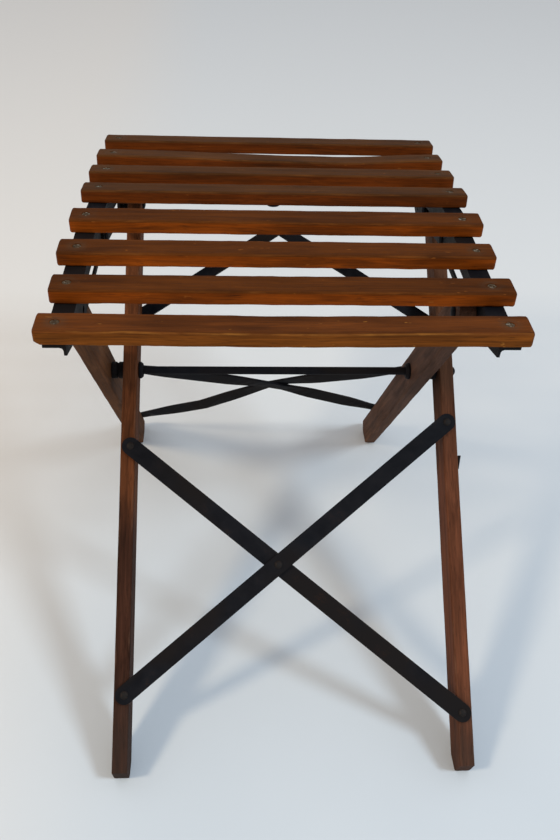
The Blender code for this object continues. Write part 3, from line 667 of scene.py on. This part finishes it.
def mark_straight(slat, shift):
    """Keep where each point of a slat was before it bent, for its grain and its edges."""
    straight = slat.data.attributes.new(STRAIGHT, "FLOAT_VECTOR", "POINT")
    for vertex, mark in zip(slat.data.vertices, straight.data):
        mark.vector = vertex.co - Vector((0.0, 0.0, shift(vertex.co.x)))


def stain_screws(slat, screws):
    """Mark how near each point of a slat is to a screw, for the grime round its head."""
    stain = slat.data.attributes.new(STAIN, "FLOAT", "POINT")
    for vertex, mark in zip(slat.data.vertices, stain.data):
        away = min((vertex.co.xy - Vector((across, 0.0))).length for across in screws)
        mark.value = max(0.0, 1.0 - away / SCREW_STAIN)


def screw_profile(grow):
    """A countersunk screw, measured from the slat's top, or its hole where grow is not 0."""
    tail = -2 * SLAT_THICK if grow else -SLAT_THICK
    points = [(tail, SCREW_SHANK + grow), (-SCREW_SINK - SCREW_HEAD_DEPTH, SCREW_SHANK + grow),
              (-SCREW_SINK, SCREW_RADIUS + grow)]
    if grow:
        points.append((SLAT_THICK, SCREW_RADIUS + grow))
    return points


def make_screw(node, half, top, angle, steel, seed):
    """A slotted screw, its slot left at the angle where it happened to stop."""
    bm = bmesh.new()
    lathe(bm, screw_profile(0.0))
    screw = link("slotted_" + node, bm, steel)
    screw.pass_index = seed
    bm = bmesh.new()
    bmesh.ops.create_cube(bm, size=1.0)
    bmesh.ops.scale(bm, vec=(4 * SCREW_RADIUS, SLOT_WIDTH, 2 * SLOT_DEPTH), verts=bm.verts)
    bm.transform(Matrix.Translation((0.0, 0.0, -SCREW_SINK)) @ Matrix.Rotation(angle, 4, "Z"))
    cut(screw, link("groove", bm))
    finish_piece(screw, top, half + "_seat", node)


def make_seat(steel):
    """All the slats: darker behind, glowing in front, and rubbed to gold on the foremost one."""
    rear, front, last = [slat_wood(name, *looks) for name, looks in SLAT_WOODS.items()]
    woods = {"rear": [rear] * SLATS_PER_HALF, "front": [front] * (SLATS_PER_HALF - 1) + [last]}
    seed = 0
    for half in HALVES:
        for number, wood in enumerate(woods[half], start=1):
            seed += 1
            make_slat(half, number, seed, wood, steel)


def leg_axes(lean, toward):
    """A leg frame's axes: X up the leg from the pivot, Y across it, Z towards the left."""
    joints = {joint["name"]: joint for joint in frame["record"]["behaviour"]["joints"]}
    pivot = Vector(joints["leg_fold"]["pos_m"])
    up = Vector((0.0, sin(lean) * toward, cos(lean)))
    side = Vector((-1.0, 0.0, 0.0))
    turn = Matrix((up, side.cross(up), side)).transposed().to_4x4()
    return Matrix.Translation(pivot) @ turn


def make_leg_pair(kind, lean, toward, sole, rise, seed):
    """The two legs of a frame, with their feet cut to stand level and their tops rounded.

    toward is 1 where the legs rise toward the rear and -1 where they rise toward the front. sole is
    how much of a foot stands level, and rise how far up the leg the cut of its toe ends.
    """
    half = LEG_DEPTH / 2
    axes = leg_axes(lean, toward)
    heel = -axes.translation.z / cos(lean) + half * tan(lean)
    ball = heel - sole * tan(lean)

    def foot(y):
        from_heel = half - y * toward
        if from_heel < sole:
            return heel - from_heel * tan(lean)
        return ball + rise * (from_heel - sole) / (LEG_DEPTH - sole)

    def crown(y):
        return LEG_UPPER + sqrt(max(half ** 2 - y ** 2, 0.0))

    def level(x):
        return 0.0

    size = (LEG_DEPTH, LEG_THICK)
    for own_seed, side in enumerate(SIDES, start=seed):
        node = "%s_leg_%s" % (kind, side)
        bm = worn_bar(size, foot, crown, LEG_EASE, FOOT_EASE, LEG_STATIONS, own_seed, level)
        leg = link("worn_" + node, bm, leg_wood(*LEG_WOODS[node]))
        leg.pass_index = own_seed
        for along, bore in ((0.0, PIVOT_BORE), (LEG_UPPER, PIN_BORE)):
            bm = bmesh.new()
            lathe(bm, [(-LEG_THICK, bore), (LEG_THICK, bore)], Matrix.Translation((along, 0.0, 0.0)))
            cut(leg, link("drill", bm))
        place = Matrix.Translation((middle_of(node).x, 0.0, 0.0)) @ axes
        finish_piece(leg, place, kind + "_leg_frame", node)


def make_front_rivets(rust):
    """Rusty caps over the rivet heads of the front cross."""
    axes = leg_axes(FRONT_LEAN, 1)
    left = middle_of("front_leg_left").x + FRONT_BRACE_INSET
    right = middle_of("front_leg_right").x - FRONT_BRACE_INSET
    falls = (FRONT_FALLING[1] - FRONT_FALLING[0], FRONT_RISING[1] - FRONT_RISING[0])
    share = (FRONT_RISING[1] - FRONT_FALLING[0]) / sum(falls)
    crossing = FRONT_FALLING[0] + share * falls[0]
    stand = SEAT_GAP + BRACE_THICK
    rivets = ((left, FRONT_FALLING[0], stand), (right, FRONT_FALLING[1], stand),
              (left, FRONT_RISING[1], stand), (right, FRONT_RISING[0], stand),
              (left + share * (right - left), crossing, 2 * stand))
    profile = [(0.0, RIVET_RADIUS)]
    for i in range(1, CORNER_STEPS + 1):
        turn = (pi / 2) * i / (CORNER_STEPS + 1)
        profile.append((RIVET_HEIGHT * sin(turn), RIVET_RADIUS * cos(turn)))
    for number, (x, below, out) in enumerate(rivets, start=1):
        bm = bmesh.new()
        lathe(bm, profile)
        cap = link("front_rivet_%d" % number, bm, rust)
        seat = Matrix.Translation((-below, -LEG_DEPTH / 2 - out, -x)) @ Matrix.Rotation(pi / 2, 4, "X")
        finish_piece(cap, axes @ seat, "front_leg_frame")


def make_stud(iron):
    """The low dark stud under the middle of the slat behind the ridge."""
    bm = bmesh.new()
    lathe(bm, [(0.0, STUD_RADIUS), (STUD_SHOULDER, STUD_RADIUS), (STUD_HEIGHT, STUD_TIP_RADIUS)])
    stud = link("slat_stud", bm, iron)
    under = Matrix.Translation((STUD_ACROSS, STUD_INSET - SLAT_WIDTH / 2, -SLAT_THICK / 2))
    place = slat_axes("rear", 1) @ under @ Matrix.Rotation(pi, 4, "X")
    finish_piece(stud, place, "rear_seat")


def dress_iron(iron):
    """Paint the iron nodes and ease their edges, so that these catch the light."""
    slots = {part["node"]: part["material_slot"] for part in frame["record"]["subparts"]}
    for name, node in frame["nodes"].items():
        if slots[name] != "black_iron":
            continue
        node.data.materials.clear()
        node.data.materials.append(iron)
        weld = node.modifiers.new("Weld", "WELD")
        weld.merge_threshold = WELD_REACH
        ease = node.modifiers.new("Ease", "BEVEL")
        ease.width = IRON_EASE
        ease.segments = IRON_EASE_STEPS
        ease.limit_method = "ANGLE"
        ease.angle_limit = IRON_EASE_ANGLE


def make_floor():
    """The floor, wide enough to show no edge in the photograph's view."""
    bm = bmesh.new()
    bmesh.ops.create_grid(bm, x_segments=FLOOR_CELLS, y_segments=FLOOR_CELLS, size=FLOOR_REACH)
    link("floor", bm, pale_floor())


def area_light(name, place, size, power, colour):
    """A round soft light that points at the stool."""
    data = bpy.data.lights.new(name, "AREA")
    data.shape = "DISK"
    data.size = size
    data.energy = power
    data.color = colour
    lamp = bpy.data.objects.new(name, data)
    bpy.context.scene.collection.objects.link(lamp)
    away = Vector(place) - LAMP_AIM
    lamp.rotation_euler = away.to_track_quat("Z", "Y").to_euler()
    lamp.location = place


def make_light():
    """A cool window to the front right, a warm lamp to the front left, and pale surroundings."""
    for name, settings in LAMPS.items():
        area_light(name, *settings)
    world = bpy.data.worlds.new("world")
    world.use_nodes = True
    back = world.node_tree.nodes["Background"]
    back.inputs["Color"].default_value = SKY_COLOUR
    back.inputs["Strength"].default_value = SKY_STRENGTH
    bpy.context.scene.world = world


def make_camera():
    """The camera that took the photograph, turned by its yaw, pitch and roll."""
    data = bpy.data.cameras.new("camera")
    data.sensor_width = SENSOR
    data.lens = FOCAL_PIXELS * SENSOR / PHOTO_HEIGHT
    data.clip_start = CLIP_START
    camera = bpy.data.objects.new("camera", data)
    bpy.context.scene.collection.objects.link(camera)
    flat = cos(CAMERA_PITCH)
    ahead = Vector((sin(CAMERA_YAW) * flat, cos(CAMERA_YAW) * flat, -sin(CAMERA_PITCH)))
    level = Vector((cos(CAMERA_YAW), -sin(CAMERA_YAW), 0.0))
    upright = level.cross(ahead)
    right = level * cos(CAMERA_ROLL) + upright * sin(CAMERA_ROLL)
    up = upright * cos(CAMERA_ROLL) - level * sin(CAMERA_ROLL)
    turn = Matrix((right, up, -ahead)).transposed().to_4x4()
    camera.matrix_world = Matrix.Translation(CAMERA_PLACE) @ turn
    bpy.context.scene.camera = camera


with open("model.json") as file:
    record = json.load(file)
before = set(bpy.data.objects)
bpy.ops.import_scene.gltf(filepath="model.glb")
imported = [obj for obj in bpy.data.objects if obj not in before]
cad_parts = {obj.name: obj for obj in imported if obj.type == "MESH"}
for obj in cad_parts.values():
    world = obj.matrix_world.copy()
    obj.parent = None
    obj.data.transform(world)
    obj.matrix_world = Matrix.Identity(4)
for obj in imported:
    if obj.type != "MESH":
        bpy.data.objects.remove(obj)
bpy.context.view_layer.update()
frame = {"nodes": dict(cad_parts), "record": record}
bpy.context.scene.view_settings.view_transform = "Standard"
make_camera()
make_light()
make_floor()
make_seat(screw_steel())
make_leg_pair("front", FRONT_LEAN, 1, FRONT_SOLE, FRONT_TOE_RISE, FRONT_SEED)
make_leg_pair("rear", REAR_LEAN, -1, REAR_SOLE, REAR_TOE_RISE, REAR_SEED)
make_front_rivets(rusty_iron())
iron = black_iron()
make_stud(iron)
dress_iron(iron)
